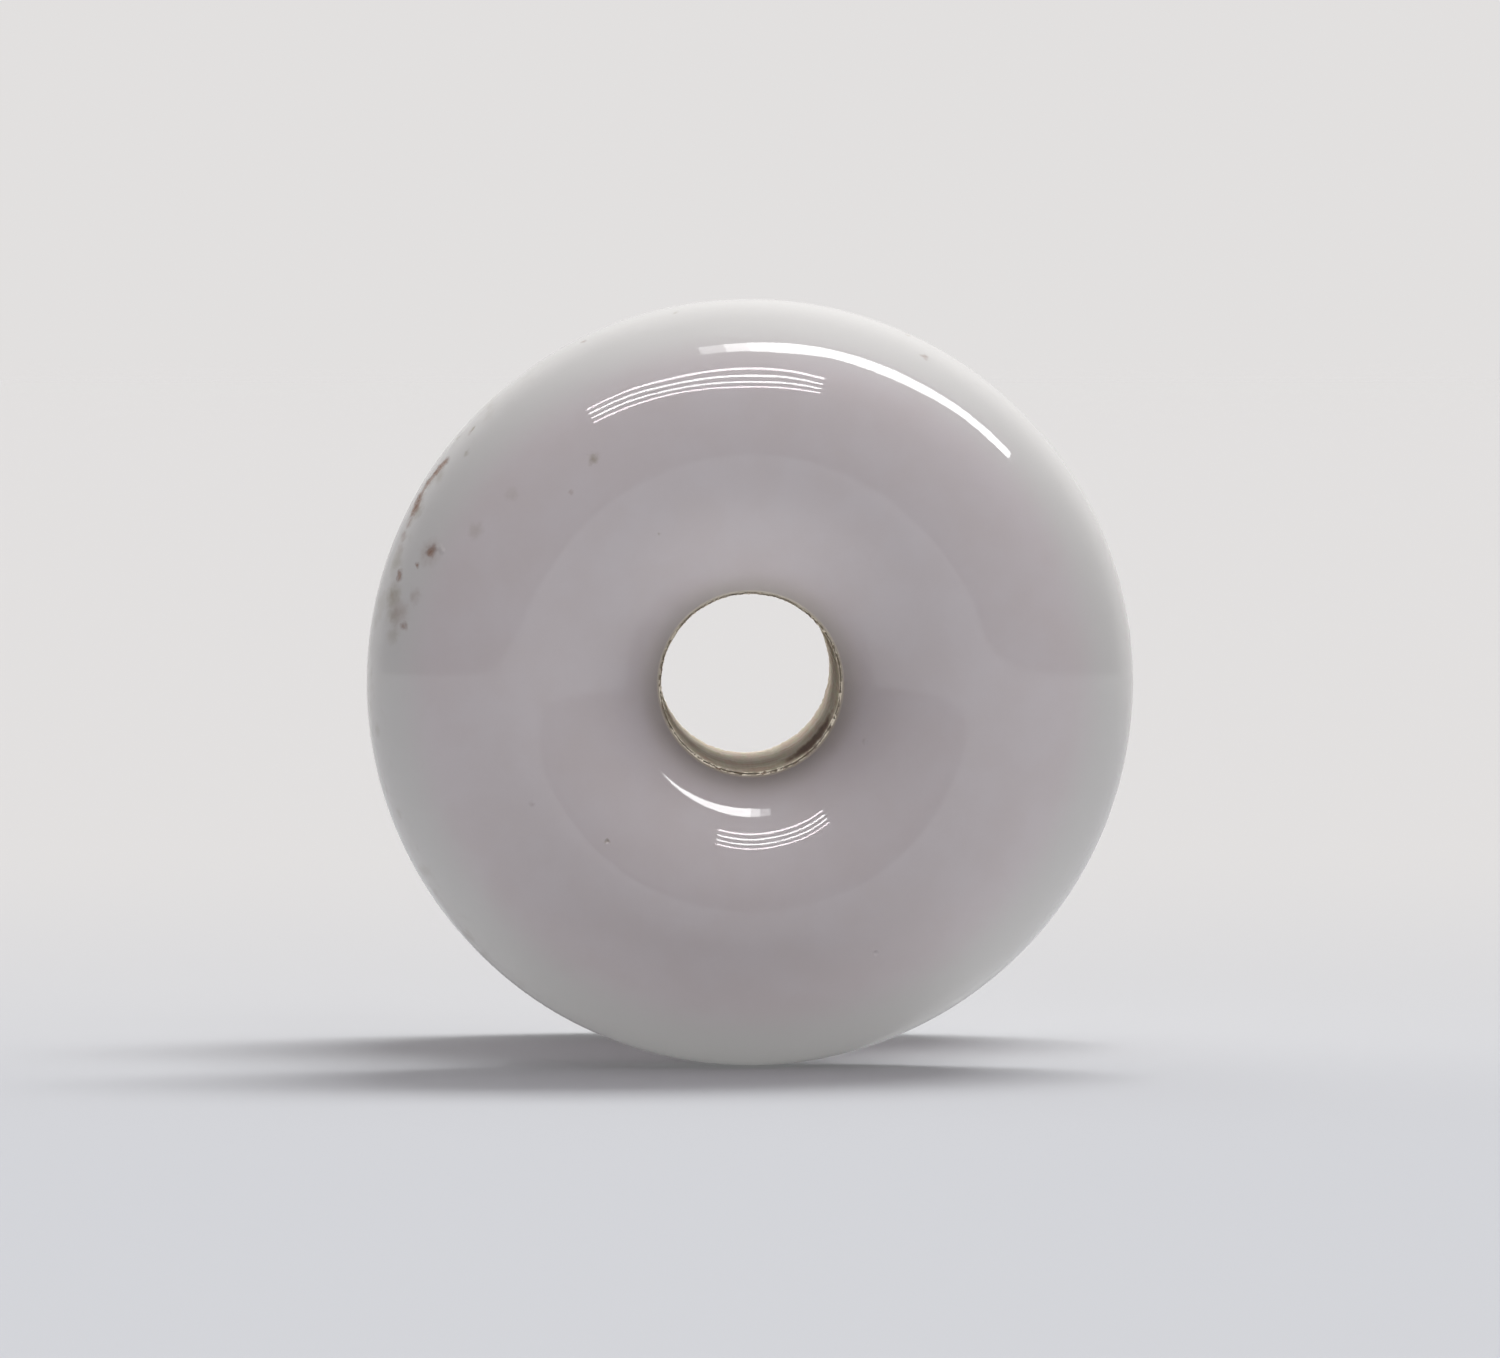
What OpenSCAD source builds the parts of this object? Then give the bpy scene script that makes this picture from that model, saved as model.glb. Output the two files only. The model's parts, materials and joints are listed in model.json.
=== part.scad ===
// Porcelain spool insulator for a wire fence.
// A pressed clay body with a plain bore, under one coat of glaze that stops just short of the bore.
// Millimetres. The origin is the middle of the bore, which runs along Y. Z is up.

/* [Flanges] */
// Diameter across the flanges
flange_d = 38; // [38:0.5:39]
// Length over the crests of the two ends
spool_len = 38; // [36:0.5:44]
// Diameter of the circle along which each end stands highest
crest_d = 22.6; // [22:0.1:22.8]
// Radius of the end's curve from the crest outwards, before the tighter curve of the rim
face_arc_r = 8.4; // [8:0.1:8.6]
// Radius of the flange's inner shoulder, where it turns into the wire groove
shoulder_r = 3.2; // [2.5:0.1:3.4]

/* [Wire groove] */
// Diameter at the bottom of the groove
waist_d = 23; // [21:0.5:26]

/* [Bore] */
// Diameter of the bore, for a bolt or lag screw of 8 mm
bore_d = 8.8; // [8.6:0.1:9.4]
// Radius of the end's curve from the crest inwards, to the mouth of the bore
mouth_arc_r = 7.7; // [7.5:0.1:8.4]

/* [Glaze] */
// Thickness of the glaze
glaze_t = 0.25; // [0.15:0.05:0.35]
// Width of the bare ring of body between the bore and the edge of the glaze
bare_ring_w = 0.2; // [0.2:0.05:0.3]

/* [Hidden] */
$fn = 180;

half_len = spool_len / 2;
flange_r = flange_d / 2;
crest_r = crest_d / 2;
waist_r = waist_d / 2;
bore_r = bore_d / 2;

// Each end is a run of arcs that meet level at the crest. The rim's arc takes over from the face's
// where both face this way, a slope of 3 in 4 that keeps the centres of the arcs at round numbers.
rim_start = [0.8, 0.6];
mouth_centre = [crest_r, half_len - mouth_arc_r];
face_centre = [crest_r, half_len - face_arc_r];
rim_arc_r = (flange_r - crest_r - face_arc_r * rim_start.x) / (1 - rim_start.x);
rim_centre = face_centre + (face_arc_r - rim_arc_r) * rim_start;

// The groove's arc has its centre on the spool's middle plane and runs into both shoulders without a corner.
shoulder_centre = [flange_r - shoulder_r, rim_centre.y];
root_gap = shoulder_centre.x - waist_r;
groove_arc_r = (root_gap ^ 2 + shoulder_centre.y ^ 2 - shoulder_r ^ 2) / (2 * (root_gap + shoulder_r));
groove_centre = [waist_r + groove_arc_r, 0];
// The groove is cut this much deeper, so that its arc is sure to reach the shoulder's.
groove_bite = 0.0002;

// The slice of a disc between two directions no more than 90 degrees apart
module disc_slice(r, from, to) {
    intersection() {
        circle(r);
        polygon([[0, 0], 2 * r * from, 2 * r * to]);
    }
}

// Half of the spool's section, above its middle plane. inset is the depth below the glazed surface.
module half_section(inset) {
    inner_x = crest_r - mouth_arc_r + inset;
    difference() {
        union() {
            translate(mouth_centre) disc_slice(mouth_arc_r - inset, [0, 1], [-1, 0]);
            translate(face_centre) disc_slice(face_arc_r - inset, rim_start, [0, 1]);
            translate(rim_centre) disc_slice(rim_arc_r - inset, [1, 0], rim_start);
            translate(shoulder_centre) circle(shoulder_r - inset);
            polygon([
                [inner_x, 0],
                groove_centre,
                shoulder_centre,
                rim_centre,
                face_centre,
                mouth_centre,
                [inner_x, mouth_centre.y]
            ]);
        }
        translate(groove_centre) circle(groove_arc_r + inset + groove_bite);
        translate([0, -spool_len]) square([flange_r, spool_len]);
    }
}

// The whole section on one side of the axis, cut back to a hole of radius hole_r
module section(inset, hole_r) {
    difference() {
        union() {
            half_section(inset);
            mirror([0, 1]) half_section(inset);
        }
        translate([0, -spool_len]) square([hole_r, 2 * spool_len]);
    }
}

// Turns a section into a solid whose axis is Y
module turned() {
    rotate([-90, 0, 0]) rotate_extrude() children();
}

// The fired clay body, bare in the bore
module porcelain_body() {
    color("seashell") turned() section(glaze_t, bore_r);
}

// The glassy coat over both ends, the flanges and the wire groove
module glaze_coat() {
    color("white") turned() difference() {
        section(0, bore_r + bare_ring_w);
        section(glaze_t, bore_r);
    }
}

porcelain_body();
glaze_coat();
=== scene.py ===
"""The looks of a glazed porcelain fence insulator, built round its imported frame. Metres, row frame."""

import json
import math

import bpy
import numpy as np
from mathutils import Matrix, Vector, noise


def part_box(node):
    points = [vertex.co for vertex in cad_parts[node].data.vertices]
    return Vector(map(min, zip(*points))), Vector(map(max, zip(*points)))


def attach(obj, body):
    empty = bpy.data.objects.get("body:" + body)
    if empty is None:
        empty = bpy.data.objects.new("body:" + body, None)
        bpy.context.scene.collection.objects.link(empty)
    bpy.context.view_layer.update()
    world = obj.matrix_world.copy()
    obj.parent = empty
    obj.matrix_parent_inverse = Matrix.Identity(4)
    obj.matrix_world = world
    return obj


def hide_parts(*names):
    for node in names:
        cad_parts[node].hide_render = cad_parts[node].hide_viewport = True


MM = 0.001

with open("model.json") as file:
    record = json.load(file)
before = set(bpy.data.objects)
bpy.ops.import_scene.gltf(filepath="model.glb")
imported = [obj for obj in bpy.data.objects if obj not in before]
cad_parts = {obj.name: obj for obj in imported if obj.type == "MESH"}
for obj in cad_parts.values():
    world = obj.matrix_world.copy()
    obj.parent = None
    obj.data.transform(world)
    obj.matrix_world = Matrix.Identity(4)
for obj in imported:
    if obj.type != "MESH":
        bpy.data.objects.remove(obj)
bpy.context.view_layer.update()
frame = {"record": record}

# ---------------------------------------------------------------- dimensions

mounts = {mount["name"]: mount for mount in frame["record"]["mounts"]}
glaze_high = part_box("glaze_coat")[1]
body_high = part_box("porcelain_body")[1]

FLANGE_R = glaze_high.x
HALF_LEN = glaze_high.y
GLAZE_T = glaze_high.x - body_high.x
BORE_R = mounts["bore"]["dims"]["r_mm"] * MM
WAIST_R = mounts["wire_groove"]["pos_m"][2]
CREST_R = 11.3 * MM
MOUTH_ARC_R = 7.7 * MM
FACE_ARC_R = 8.4 * MM
SHOULDER_R = 3.2 * MM

# The glaze ends in a rounded, slightly wandering edge this far outside the bore.
BARE_RING_W = 0.04 * MM
EDGE_ROLL = 0.14 * MM
EDGE_WANDER = 0.05 * MM
BEAD_HEIGHT = 0.02 * MM

# The glaze's surface is a little wavy. It sinks by more than a wave's height, to stay in the CAD's box.
WAVE_HEIGHT = 0.01 * MM
WAVE_SINK = 0.012 * MM

# The bore's wall has grooves along it, low lumps, and chips out of both its edges. It sinks a little as well.
WALL_GROOVE_DEPTH = 0.03 * MM
WALL_LUMP_HEIGHT = 0.02 * MM
WALL_SINK = 0.01 * MM
CHIP_DEPTH = 0.07 * MM
CHIP_REACH = 0.35 * MM

# The direction in which the rim's tighter arc takes over from the face's
RIM_START = np.array([0.8, 0.6])
RIM_ARC_R = (FLANGE_R - CREST_R - FACE_ARC_R * RIM_START[0]) / (1 - RIM_START[0])
FACE_CENTRE = np.array([CREST_R, HALF_LEN - FACE_ARC_R])
MOUTH_CENTRE = np.array([CREST_R, HALF_LEN - MOUTH_ARC_R])
RIM_CENTRE = FACE_CENTRE + (FACE_ARC_R - RIM_ARC_R) * RIM_START
SHOULDER_CENTRE = np.array([FLANGE_R - SHOULDER_R, RIM_CENTRE[1]])

FLOOR_Z = -FLANGE_R

# The camera stands a little above the bore and a little to the left of it.
VIEW_AZIMUTH = math.radians(-0.7)
VIEW_ELEVATION = math.radians(1.7)
VIEW_DISTANCE = 0.62
SEEN_WIDTH = 74.3 * MM
VIEW_RISE = 0.17 * MM
SENSOR_MM = 36


# ---------------------------------------------------------------- outline

def arc(centre, radius, start, end, count, side=1):
    """Rows of (distance from the axis, y, and the same two parts of the outward normal) along an arc.

    Angles are in degrees, from the outward direction towards +Y. side is -1 where the arc is hollow.
    """
    angles = np.radians(np.linspace(start, end, count))
    ways = np.stack([np.cos(angles), np.sin(angles)], axis=1)
    return np.concatenate([np.asarray(centre) + radius * ways, side * ways], axis=1)


def half_outline(depth, hole_r, counts):
    """The outline at a depth under the glazed surface, from the middle plane to where it meets a hole.

    counts gives the number of points along the groove, shoulder, rim, face and mouth.
    """
    gap = SHOULDER_CENTRE[0] - WAIST_R
    groove_r = (gap ** 2 + SHOULDER_CENTRE[1] ** 2 - SHOULDER_R ** 2) / (2 * (gap + SHOULDER_R))
    groove = np.array([WAIST_R + groove_r, 0])
    groove_turn = math.degrees(math.atan2(SHOULDER_CENTRE[1], groove[0] - SHOULDER_CENTRE[0]))
    rim_turn = math.degrees(math.atan2(RIM_START[1], RIM_START[0]))
    mouth_r = MOUTH_ARC_R - depth
    mouth_end = math.degrees(math.acos((hole_r - CREST_R) / mouth_r))
    groove_count, shoulder_count, rim_count, face_count, mouth_count = counts
    return np.concatenate([
        arc(groove, groove_r + depth, 180, 180 - groove_turn, groove_count, -1),
        arc(SHOULDER_CENTRE, SHOULDER_R - depth, -groove_turn, 0, shoulder_count)[1:],
        arc(RIM_CENTRE, RIM_ARC_R - depth, 0, rim_turn, rim_count)[1:],
        arc(FACE_CENTRE, FACE_ARC_R - depth, rim_turn, 90, face_count)[1:],
        arc(MOUTH_CENTRE, mouth_r, 90, mouth_end, mouth_count)[1:],
    ])


def outline(depth, hole_r, counts):
    """The whole outline on one side of the axis, from the front mouth to the back mouth."""
    half = half_outline(depth, hole_r, counts)
    front = half[:0:-1] * [1, -1, 1, -1]
    return np.concatenate([front, half])


def run_length(rows):
    """How far each row lies from the nearer end of an open outline, along it."""
    steps = np.hypot(*np.diff(rows[:, :2], axis=0).T)
    along = np.concatenate([[0], np.cumsum(steps)])
    return np.minimum(along, along[-1] - along)


# ---------------------------------------------------------------- meshes

def lathe(name, loop, segments, shape):
    """A ring-shaped solid whose section is a closed loop of outline rows.

    shape moves the points: it is given each point's angle and its row's number, as two grids, and returns how
    far the point goes along the normal and along the outline.
    """
    turn = np.linspace(0, 2 * math.pi, segments, endpoint=False)
    angle, row = np.meshgrid(turn, np.arange(len(loop)), indexing="ij")
    lift, slide = shape(angle, row)
    radius = loop[row, 0] + lift * loop[row, 2] - slide * loop[row, 3]
    y = loop[row, 1] + lift * loop[row, 3] + slide * loop[row, 2]
    return mesh_of_grid(name, np.stack([radius * np.sin(angle), y, radius * np.cos(angle)], axis=2))


def mesh_of_grid(name, grid):
    """A closed surface over a grid of points that meets itself both ways round."""
    rows, columns = grid.shape[:2]
    index = np.arange(rows * columns).reshape(rows, columns)
    right, down = np.roll(index, -1, axis=1), np.roll(index, -1, axis=0)
    corner = np.roll(right, -1, axis=0)
    faces = np.stack([index, down, corner, right], axis=2).reshape(-1, 4)
    mesh = bpy.data.meshes.new(name)
    mesh.from_pydata(grid.reshape(-1, 3).tolist(), [], faces.tolist())
    mesh.shade_smooth()
    piece = bpy.data.objects.new(name, mesh)
    bpy.context.scene.collection.objects.link(piece)
    return piece


def noise_grid(x, y, z, octaves=1):
    """Noise from -1 to 1 at each point of three equal grids."""
    points = zip(x.ravel(), y.ravel(), z.ravel())
    values = [noise.fractal(Vector(point), 1, 2, octaves) for point in points]
    return np.array(values).reshape(x.shape)


def round_noise(angle, along, around_scale, along_scale, seed, octaves=1):
    """Noise that runs round the axis without a seam. Scales are in features per radian and per metre."""
    across, up = np.cos(angle) * around_scale, np.sin(angle) * around_scale
    return noise_grid(across + seed, up, along * along_scale, octaves)


def make_glaze():
    """The glaze, a little wavy, with a rounded edge at each mouth."""
    outer = outline(0, BORE_R + BARE_RING_W, (10, 8, 24, 40, 52))
    inner = outline(GLAZE_T, BORE_R + BARE_RING_W, (6, 4, 6, 8, 10))[::-1]
    loop = np.concatenate([outer, inner])
    from_edge = np.concatenate([run_length(outer), run_length(inner)])
    is_outer = np.arange(len(loop)) < len(outer)
    rolled = np.clip(1 - from_edge / EDGE_ROLL, 0, 1)
    roll_depth = np.where(is_outer, GLAZE_T * (1 - np.sqrt(1 - rolled ** 2)), 0)
    edge_side = np.sign(loop[:, 1])

    def shape(angle, row):
        wave = round_noise(angle, loop[row, 0] + loop[row, 1], 3, 300, 5, 2) * WAVE_HEIGHT
        # A low bead just outside the edge, where the glaze drew back as it melted
        bead = np.exp(-((from_edge[row] - 0.6 * MM) / (0.25 * MM)) ** 2)
        ripple = round_noise(angle, 0 * angle, 9, 1, 20, 3)
        lift = np.where(is_outer[row], wave - WAVE_SINK, 0) - roll_depth[row] + bead * ripple * BEAD_HEIGHT
        near_edge = np.clip(1 - from_edge[row] / (1.2 * MM), 0, 1) ** 2
        slide = near_edge * ripple * EDGE_WANDER * edge_side[row]
        return lift, slide

    return lathe("glaze", loop, 280, shape)


def make_body():
    """The fired body, with a rough bore and small chips along its two edges."""
    outer = outline(GLAZE_T, BORE_R, (6, 4, 6, 8, 24))
    wall_y = np.linspace(outer[-1, 1], outer[0, 1], 70)[1:-1]
    wall = np.stack([np.full(len(wall_y), BORE_R), wall_y, np.full(len(wall_y), -1.0), 0 * wall_y], axis=1)
    loop = np.concatenate([outer, wall])
    wall_end = outer[-1, 1]
    is_wall = loop[:, 0] < BORE_R + 0.01 * MM
    from_edge = np.abs(np.abs(loop[:, 1]) - wall_end)

    def shape(angle, row):
        grooves = round_noise(angle, loop[row, 1], 30, 60, 40, 2) * WALL_GROOVE_DEPTH
        lumps = round_noise(angle, loop[row, 1], 4, 250, 60, 2) * WALL_LUMP_HEIGHT
        chip = np.clip(round_noise(angle, loop[row, 1], 22, 100, 80, 2) - 0.25, 0, 1)
        chip *= np.exp(-(from_edge[row] / CHIP_REACH) ** 2) * CHIP_DEPTH
        bare = loop[row, 0] < BORE_R + 0.6 * MM
        lift = np.where(is_wall[row], grooves + lumps - WALL_SINK, 0) - np.where(bare, chip, 0)
        return lift, 0 * angle

    return lathe("fired_body", loop, 400, shape)


# ---------------------------------------------------------------- node helpers

def feed(tree, socket, value):
    """Gives a socket a colour or a number, or links another socket to it."""
    if isinstance(value, tuple):
        socket.default_value = (*value, 1)
    elif isinstance(value, (int, float)):
        socket.default_value = value
    else:
        tree.links.new(value, socket)


def ramp(tree, value, low, high, a, b):
    """A colour that goes smoothly from a to b as value goes from low to high. Either may be a socket."""
    return blend(tree, fade(tree, value, low, high), a, b)


def fade(tree, value, low, high, top=1):
    """A number that goes smoothly from 0 at low to top at high. low may be above high."""
    node = tree.nodes.new("ShaderNodeMapRange")
    node.interpolation_type = "SMOOTHSTEP"
    tree.links.new(value, node.inputs["Value"])
    node.inputs["From Min"].default_value = low
    node.inputs["From Max"].default_value = high
    node.inputs["To Max"].default_value = top
    return node.outputs["Result"]


def blend(tree, factor, a, b):
    """Goes from a to b as factor goes from 0 to 1. Each is a colour or a socket."""
    mix = tree.nodes.new("ShaderNodeMix")
    mix.data_type = "RGBA"
    tree.links.new(factor, mix.inputs["Factor"])
    for name, color in (("A", a), ("B", b)):
        feed(tree, next(s for s in mix.inputs if s.name == name and s.type == "RGBA"), color)
    return next(s for s in mix.outputs if s.type == "RGBA")


def combine(tree, operation, *values):
    """Takes numbers or sockets one after another into a math operation."""
    total = values[0]
    for value in values[1:]:
        node = tree.nodes.new("ShaderNodeMath")
        node.operation = operation
        feed(tree, node.inputs[0], total)
        feed(tree, node.inputs[1], value)
        total = node.outputs[0]
    return total


def vector_math(tree, operation, *values):
    """A vector math node on vectors or sockets."""
    node = tree.nodes.new("ShaderNodeVectorMath")
    node.operation = operation
    for socket, value in zip(node.inputs, values):
        if isinstance(value, (tuple, Vector)):
            socket.default_value = value
        else:
            tree.links.new(value, socket)
    return node


def place(tree):
    """Where the shaded point is, in the row frame."""
    return tree.nodes.new("ShaderNodeTexCoord").outputs["Object"]


def coordinate(tree, vector, axis):
    """One coordinate of a vector: X, Y or Z."""
    split = tree.nodes.new("ShaderNodeSeparateXYZ")
    tree.links.new(vector, split.inputs[0])
    return split.outputs[axis]


def distance_from_axis(tree, here):
    """How far a point is from the bore's axis."""
    across = vector_math(tree, "MULTIPLY", here, (1, 0, 1)).outputs["Vector"]
    return vector_math(tree, "LENGTH", across).outputs["Value"]


def noise_of(tree, vector, scale, detail=3, stretch=(1, 1, 1)):
    """Noise from about 0.3 to 0.7. scale is in features per metre."""
    node = tree.nodes.new("ShaderNodeTexNoise")
    tree.links.new(vector_math(tree, "MULTIPLY", vector, stretch).outputs[0], node.inputs["Vector"])
    node.inputs["Scale"].default_value = scale
    node.inputs["Detail"].default_value = detail
    return node.outputs["Fac"]


def bump(tree, shader, height, depth):
    """Bends the shader's normals as if the surface rose by depth where height is 1."""
    node = tree.nodes.new("ShaderNodeBump")
    node.inputs["Distance"].default_value = depth
    tree.links.new(height, node.inputs["Height"])
    tree.links.new(node.outputs[0], shader.inputs["Normal"])


def principled(name, color, roughness):
    """A material, its node tree and its shader."""
    material = bpy.data.materials.new(name)
    material.use_nodes = True
    shader = next(n for n in material.node_tree.nodes if n.type == "BSDF_PRINCIPLED")
    feed(material.node_tree, shader.inputs["Base Color"], color)
    shader.inputs["Roughness"].default_value = roughness
    return material, material.node_tree, shader


# ---------------------------------------------------------------- materials

GLAZE_ROUGHNESS = 0.03

# Linear colours
GLAZE_WHITE = (0.60, 0.56, 0.567)
GLAZE_WARM = (0.585, 0.54, 0.542)
GLAZE_RIM = (0.58, 0.575, 0.56)
# Painted shade for the glaze round the bore's mouth
MOUTH_SHADE = (0.50, 0.47, 0.45)
WORN_EDGE = (0.80, 0.75, 0.65)
OLIVE = (0.27, 0.225, 0.15)
RUST = (0.20, 0.095, 0.05)
BARE_CLAY = (0.72, 0.66, 0.55)
BARE_DIRT = (0.20, 0.15, 0.11)
BORE_BROWN = (0.40, 0.30, 0.23)
BORE_GREEN = (0.38, 0.36, 0.25)
BORE_GREY = (0.48, 0.43, 0.36)
BORE_RUST = (0.075, 0.035, 0.02)

# Where round the bore its rust spot sits, clockwise from the top, and how far in from the front
RUST_AZIMUTH = 133
RUST_DEPTH = 10 * MM

# How far from the middle plane the bare wall of the bore reaches
WALL_END = MOUTH_CENTRE[1] + math.sqrt((MOUTH_ARC_R - GLAZE_T) ** 2 - (CREST_R - BORE_R) ** 2)


def front_point(azimuth, radius):
    """The point of the front end at an azimuth, clockwise from the top, and a distance from the axis."""
    out, centre, arc_r = radius - CREST_R, MOUTH_CENTRE, MOUTH_ARC_R
    if out > 0:
        centre, arc_r = FACE_CENTRE, FACE_ARC_R
    if out > FACE_ARC_R * RIM_START[0]:
        centre, arc_r = RIM_CENTRE, RIM_ARC_R
    y = centre[1] + math.sqrt(max(arc_r ** 2 - (radius - centre[0]) ** 2, 0))
    turn = math.radians(azimuth)
    return Vector((radius * math.sin(turn), -y, radius * math.cos(turn)))


# Marks on the front end: azimuth clockwise from the top, distance from the axis and size in mm, and strength
RUST_MARKS = [
    (-54.3, 18.64, 0.5, 1), (-55.2, 18.67, 0.48, 1), (-56.2, 18.70, 0.45, 1), (-57.2, 18.73, 0.42, 0.9),
    (-58.2, 18.75, 0.55, 1), (-59.2, 18.75, 0.4, 0.8), (-60.4, 18.74, 0.55, 1), (-61.2, 18.71, 0.65, 1),
    (-62.3, 18.68, 0.6, 1), (-63.2, 18.66, 0.5, 0.7), (-64.6, 18.64, 0.5, 0.5), (-66.9, 18.62, 0.5, 0.4),
    (-69, 18.55, 0.5, 0.3), (-67.4, 17.07, 0.6, 0.85), (-67.6, 17.10, 0.95, 0.3), (-72.9, 18.13, 0.42, 0.8),
    (-70.3, 17.44, 0.24, 0.85), (-78.5, 17.68, 0.95, 0.3), (-75.3, 17.14, 0.6, 0.25),
    (-80.5, 17.3, 0.35, 0.55), (-48, 18.6, 0.3, 0.35), (-26, 18.8, 0.3, 0.5),
    (28, 18.3, 0.3, 0.4), (-43, 13.0, 0.2, 0.3),
]
OLIVE_MARKS = [
    (-76.2, 18.18, 0.95, 0.6), (-79, 18.0, 0.8, 0.4), (-82, 17.8, 0.7, 0.3), (-71, 18.5, 0.8, 0.4),
    (-62.6, 18.5, 0.6, 0.5), (-50.9, 18.07, 0.3, 0.4), (-60.5, 15.53, 0.6, 0.25), (-51.5, 15.06, 0.5, 0.18),
    (-47.4, 18.6, 0.24, 0.95), (-49.8, 18.87, 0.24, 0.8), (-34.7, 13.61, 0.42, 0.6), (-56.5, 18.5, 0.6, 0.35),
    (-30.9, 8.7, 0.14, 0.45), (-136.9, 10.4, 0.16, 0.6), (-11.4, 18.7, 0.25, 0.3), (24.3, 18.9, 0.3, 0.3),
    (-97, 18.6, 0.5, 0.2), (-110, 18.5, 0.4, 0.2),
]
# The same for pits and, where the strength is above 0, bumps
PITS = [
    (-67.4, 17.0, 0.35, -1), (-66.5, 16.55, 0.24, 1), (-66.1, 16.72, 0.24, 1), (116, 6.25, 0.22, 1),
    (-137, 10.4, 0.15, -1), (155, 14.5, 0.2, 1), (-118, 12.2, 0.2, -1),
]


def marks(tree, points, table):
    """How strongly each mark of a table shows at the points: it fades out from its middle."""
    spots = []
    for azimuth, radius, size, strength in table:
        middle = front_point(azimuth, radius * MM)
        away = vector_math(tree, "DISTANCE", points, middle).outputs["Value"]
        spots.append(fade(tree, away, size * MM, 0, strength))
    return spots


def roughened(tree, here):
    """The place of a point moved about by up to 0.3 mm, which gives the marks ragged edges."""
    wobble = tree.nodes.new("ShaderNodeTexNoise")
    tree.links.new(here, wobble.inputs["Vector"])
    wobble.inputs["Scale"].default_value = 2600
    shift = vector_math(tree, "SUBTRACT", wobble.outputs["Color"], (0.5, 0.5, 0.5)).outputs[0]
    shift = vector_math(tree, "MULTIPLY", shift, (0.6 * MM,) * 3).outputs[0]
    return vector_math(tree, "ADD", here, shift).outputs[0]


def glaze_material():
    """Glossy white glaze, pinker inside the rims, with rust and olive stains on the front end."""
    material, tree, shader = principled("glaze", GLAZE_WHITE, GLAZE_ROUGHNESS)
    here = place(tree)
    radius = distance_from_axis(tree, here)
    ragged = roughened(tree, here)

    cloud = noise_of(tree, here, 420, 4)
    color = ramp(tree, cloud, 0.3, 0.7, GLAZE_WARM, GLAZE_WHITE)
    color = blend(tree, fade(tree, radius, 15.5 * MM, 17.8 * MM), color, GLAZE_RIM)
    # Painted shade: the glaze darkens towards the bore, in place of the shade that falls on the mouth's steep
    # slope.
    color = blend(tree, fade(tree, radius, BORE_R + 1.3 * MM, BORE_R, 0.75), color, MOUTH_SHADE)
    # Faint grime in patches on the left of the rims
    patches = fade(tree, noise_of(tree, here, 900, 5), 0.52, 0.66)
    on_rim = fade(tree, radius, 17.8 * MM, 18.9 * MM, 0.2)
    on_left = fade(tree, coordinate(tree, here, "X"), -8 * MM, -15 * MM)
    grime = combine(tree, "MULTIPLY", patches, on_rim, on_left)
    rust = combine(tree, "MAXIMUM", *marks(tree, ragged, RUST_MARKS))
    olive = combine(tree, "MAXIMUM", grime, *marks(tree, ragged, OLIVE_MARKS))
    color = blend(tree, olive, color, OLIVE)
    color = blend(tree, rust, color, RUST)
    # The glaze's very edge at the bore is worn pale.
    color = blend(tree, fade(tree, radius, BORE_R + 0.26 * MM, BORE_R + 0.16 * MM, 0.9), color, WORN_EDGE)
    tree.links.new(color, shader.inputs["Base Color"])
    worn = combine(tree, "MAXIMUM", olive, rust)
    roughness = combine(tree, "ADD", GLAZE_ROUGHNESS, combine(tree, "MULTIPLY", worn, 0.35))
    tree.links.new(roughness, shader.inputs["Roughness"])
    height = combine(tree, "ADD", *marks(tree, here, PITS), combine(tree, "MULTIPLY", worn, -0.2))
    bump(tree, shader, height, 0.05 * MM)
    return material


def bisque_material():
    """Bare fired clay: pale on the chipped edge, stained in the bore."""
    material, tree, shader = principled("bisque", BARE_CLAY, 0.9)
    here = place(tree)
    streaks = noise_of(tree, here, 2200, 4, (1, 0.08, 1))
    blotches = noise_of(tree, here, 450, 4)
    stain = ramp(tree, streaks, 0.35, 0.65, BORE_BROWN, BORE_GREEN)
    stain = blend(tree, fade(tree, blotches, 0.4, 0.65, 0.8), stain, BORE_GREY)
    # The rust spot is drawn out along the bore.
    squeeze = Vector((1, 0.35, 1))
    turn = math.radians(RUST_AZIMUTH)
    spot = Vector((BORE_R * math.sin(turn), -HALF_LEN + RUST_DEPTH, BORE_R * math.cos(turn))) * squeeze
    squeezed = vector_math(tree, "MULTIPLY", here, squeeze).outputs[0]
    near = vector_math(tree, "DISTANCE", squeezed, spot).outputs["Value"]
    ragged = combine(tree, "ADD", near, combine(tree, "MULTIPLY", streaks, 1.6 * MM))
    stain = blend(tree, fade(tree, ragged, 3.2 * MM, 1.7 * MM, 0.95), stain, BORE_RUST)
    # The two edges are bare and pale, with dirt in places.
    reach = combine(tree, "ABSOLUTE", coordinate(tree, here, "Y"), 0)
    on_edge = fade(tree, reach, WALL_END - 0.12 * MM, WALL_END + 0.02 * MM)
    specks = noise_of(tree, here, 3800, 3)
    pale = ramp(tree, specks, 0.38, 0.48, BARE_DIRT, BARE_CLAY)
    tree.links.new(blend(tree, on_edge, stain, pale), shader.inputs["Base Color"])
    bump(tree, shader, noise_of(tree, here, 9000, 4, (1, 0.3, 1)), 0.03 * MM)
    return material


def dress(piece, material, node):
    """Gives a piece its material, puts it under the root body and hides the CAD node it stands for."""
    piece.data.materials.append(material)
    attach(piece, "root")
    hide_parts(node)


glaze, body = make_glaze(), make_body()
dress(glaze, glaze_material(), "glaze_coat")
dress(body, bisque_material(), "porcelain_body")


# ---------------------------------------------------------------- floor, lights, camera

FLOOR_SIZE = 20
# Between these distances behind the spool the floor fades into the backdrop, so that no horizon shows.
FLOOR_FADE_START = 2
FLOOR_END = 8
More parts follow.
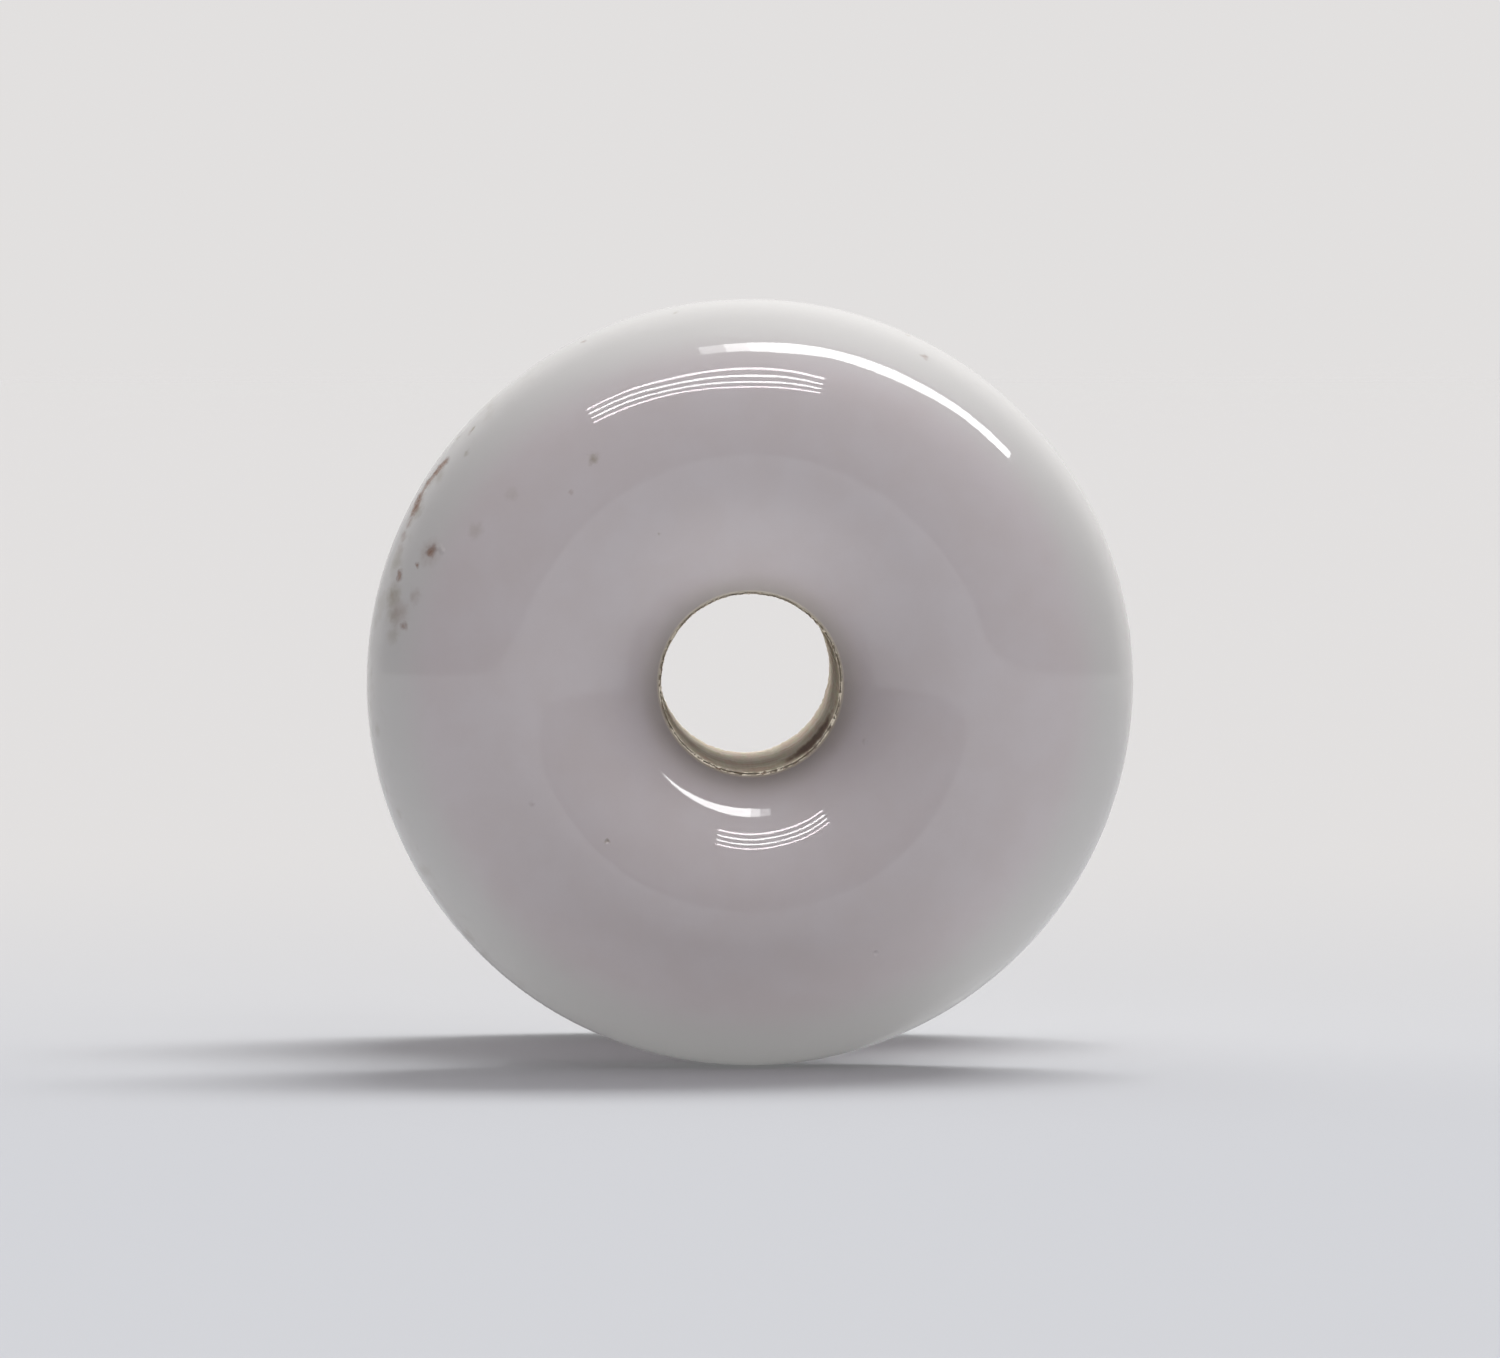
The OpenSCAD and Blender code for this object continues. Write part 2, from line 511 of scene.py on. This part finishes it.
# The floor is a cooler grey in front of the spool than behind it.
FLOOR_NEAR = (0.613, 0.630, 0.655)
FLOOR_FAR = (0.71, 0.706, 0.696)
FLOOR_NEAR_Y = -0.12
FLOOR_FAR_Y = 0.25
BACKDROP = (0.7605, 0.7458, 0.740)
DARK_ROOM = (0.13, 0.105, 0.12)
CEILING = (0.5, 0.49, 0.5)
WHITE = (1, 1, 1)
PINK = (1, 0.90, 0.94)


def make_floor():
    """A plain matt floor that the spool lies on."""
    bpy.ops.mesh.primitive_plane_add(size=FLOOR_SIZE, location=(0, 0, FLOOR_Z))
    floor = bpy.context.object
    floor.name = "floor"
    material, tree, shader = principled("floor", FLOOR_FAR, 1.0)
    shader.inputs["Specular IOR Level"].default_value = 0
    y = coordinate(tree, place(tree), "Y")
    color = ramp(tree, y, FLOOR_NEAR_Y, FLOOR_FAR_Y, FLOOR_NEAR, FLOOR_FAR)
    tree.links.new(color, shader.inputs["Base Color"])
    tree.links.new(fade(tree, y, FLOOR_END, FLOOR_FADE_START), shader.inputs["Alpha"])
    floor.data.materials.append(material)


# The lights hang far away, so that the floor is lit evenly. The shading lights hang above the ones that show
# in the glaze, since two lights in one plane hide each other's reflection.
LIGHT_HEIGHT = 10000
SOFT_LEVEL = 1.05
BORE_LIGHT_DISTANCE = 1


def make_light(name, start, end, width, radiance, color=WHITE, level=1):
    """A flat light on the ceiling. start, end and width are in heights of the ceiling above the spool.

    level is the light's own height, in heights of the ceiling. Where it is negative the light is below the
    floor, and start and end are mirrored through the spool.
    """
    height = LIGHT_HEIGHT * level
    a, b = (Vector((p[0], p[1], 1)) * height for p in (start, end))
    data = bpy.data.lights.new(name, "AREA")
    data.shape = "RECTANGLE"
    data.size = (b - a).length
    data.size_y = width * abs(height)
    data.color = color
    data.energy = radiance * math.pi * data.size * data.size_y
    light = bpy.data.objects.new(name, data)
    light.location = (a + b) / 2
    light.rotation_euler.z = math.atan2(b.y - a.y, b.x - a.x)
    bpy.context.scene.collection.objects.link(light)
    return light


def collection_of(name, pieces):
    """A collection for light linking. It isn't part of the scene."""
    collection = bpy.data.collections.new(name)
    for piece in pieces:
        collection.objects.link(piece)
    return collection


def make_soft_lights(pieces):
    """The lights that shade the spool. None shows in the glaze, and the linked ones leave the floor alone."""
    key = make_light("key", (-0.05, 0.58), (0.75, 0.58), 0.4, 11.5, level=SOFT_LEVEL)
    soft_box = make_light("soft_box", (-0.6, 0.6), (1.8, 0.6), 1.2, 0.4, level=SOFT_LEVEL)
    side = make_light("side", (0.3, -0.75), (1.3, -0.75), 0.9, 0.6, level=SOFT_LEVEL)
    front = make_light("front", (-0.4, -0.14), (0.8, -0.14), 0.3, 7, level=SOFT_LEVEL)
    # Light thrown up from the floor in front of the spool, which its own shadow would otherwise take away
    bounce = make_light("bounce", (-0.5, 0.4), (0.5, 0.4), 0.6, 2.6, level=-SOFT_LEVEL)
    bounce.rotation_euler.x = math.pi
    spool = collection_of("spool", pieces)
    bounce.light_linking.blocker_collection = spool
    for light in (front, bounce):
        light.light_linking.receiver_collection = spool
    for light in (key, soft_box, side, front, bounce):
        light.visible_glossy = False


def make_bore_lights(body):
    """Light that reaches into the bore from both ends, and falls on nothing else."""
    only_body = collection_of("only_body", [body])
    for name, side, radiance in (("bore_front", -1, 3), ("bore_back", 1, 6)):
        data = bpy.data.lights.new(name, "AREA")
        data.size = 2 * BORE_LIGHT_DISTANCE
        data.energy = radiance * math.pi * data.size ** 2
        light = bpy.data.objects.new(name, data)
        light.location.y = side * BORE_LIGHT_DISTANCE
        light.rotation_euler.x = -side * math.pi / 2
        light.light_linking.receiver_collection = only_body
        light.visible_glossy = False
        bpy.context.scene.collection.objects.link(light)


def make_highlights():
    """A long strip that fades out at one end, and a four-tube fixture. They only show in the glaze."""
    start, end = Vector((-0.15, -0.205)), Vector((1.2, -0.10))
    lights = []
    for name, first, last, width, radiance in (
        ("strip_end_0", 0, 0.06, 0.12, 4.2),
        ("strip_end_1", 0.06, 0.12, 0.135, 9.1),
        ("strip", 0.12, 1, 0.15, 14),
    ):
        lights.append(make_light(name, start.lerp(end, first), start.lerp(end, last), width, radiance))
    start, end = Vector((-0.60, -0.725)), Vector((0.255, -0.735))
    across = (end - start).normalized().orthogonal()
    tubes = ((-0.16, PINK), (-0.053, WHITE), (0.053, WHITE), (0.16, PINK))
    for index, (step, color) in enumerate(tubes):
        offset = across * step
        lights.append(make_light(f"tube_{index}", start + offset, end + offset, 0.03, 20, color))
    for light in lights:
        light.visible_diffuse = False


def make_world():
    """A pale backdrop behind, a dark room in front and a ceiling. The camera sees the backdrop all round."""
    world = bpy.data.worlds.new("studio")
    bpy.context.scene.world = world
    world.use_nodes = True
    tree = world.node_tree
    tree.nodes.clear()
    direction = tree.nodes.new("ShaderNodeTexCoord").outputs["Generated"]
    walls = ramp(tree, coordinate(tree, direction, "Y"), 0.1, 0.7, DARK_ROOM, BACKDROP)
    dome = ramp(tree, coordinate(tree, direction, "Z"), 0.5, 1.0, walls, CEILING)
    path = tree.nodes.new("ShaderNodeLightPath")
    shown = blend(tree, path.outputs["Is Camera Ray"], dome, BACKDROP)
    background = tree.nodes.new("ShaderNodeBackground")
    tree.links.new(shown, background.inputs["Color"])
    output = tree.nodes.new("ShaderNodeOutputWorld")
    tree.links.new(background.outputs[0], output.inputs["Surface"])


def make_camera():
    """The camera, aimed just above the middle of the front flange's rim."""
    target = Vector((0, -RIM_CENTRE[1], VIEW_RISE))
    away = Vector((
        math.sin(VIEW_AZIMUTH) * math.cos(VIEW_ELEVATION),
        -math.cos(VIEW_AZIMUTH) * math.cos(VIEW_ELEVATION),
        math.sin(VIEW_ELEVATION),
    ))
    data = bpy.data.cameras.new("camera")
    data.sensor_width = SENSOR_MM
    data.lens = SENSOR_MM * VIEW_DISTANCE / SEEN_WIDTH
    data.clip_start = 0.01
    data.clip_end = 1000
    camera = bpy.data.objects.new("camera", data)
    camera.location = target + away * VIEW_DISTANCE
    camera.rotation_mode = "QUATERNION"
    camera.rotation_quaternion = away.to_track_quat("Z", "Y")
    bpy.context.scene.collection.objects.link(camera)
    bpy.context.scene.camera = camera


make_floor()
make_soft_lights([glaze, body])
make_bore_lights(body)
make_highlights()
make_world()
make_camera()
bpy.context.scene.view_settings.view_transform = "Standard"
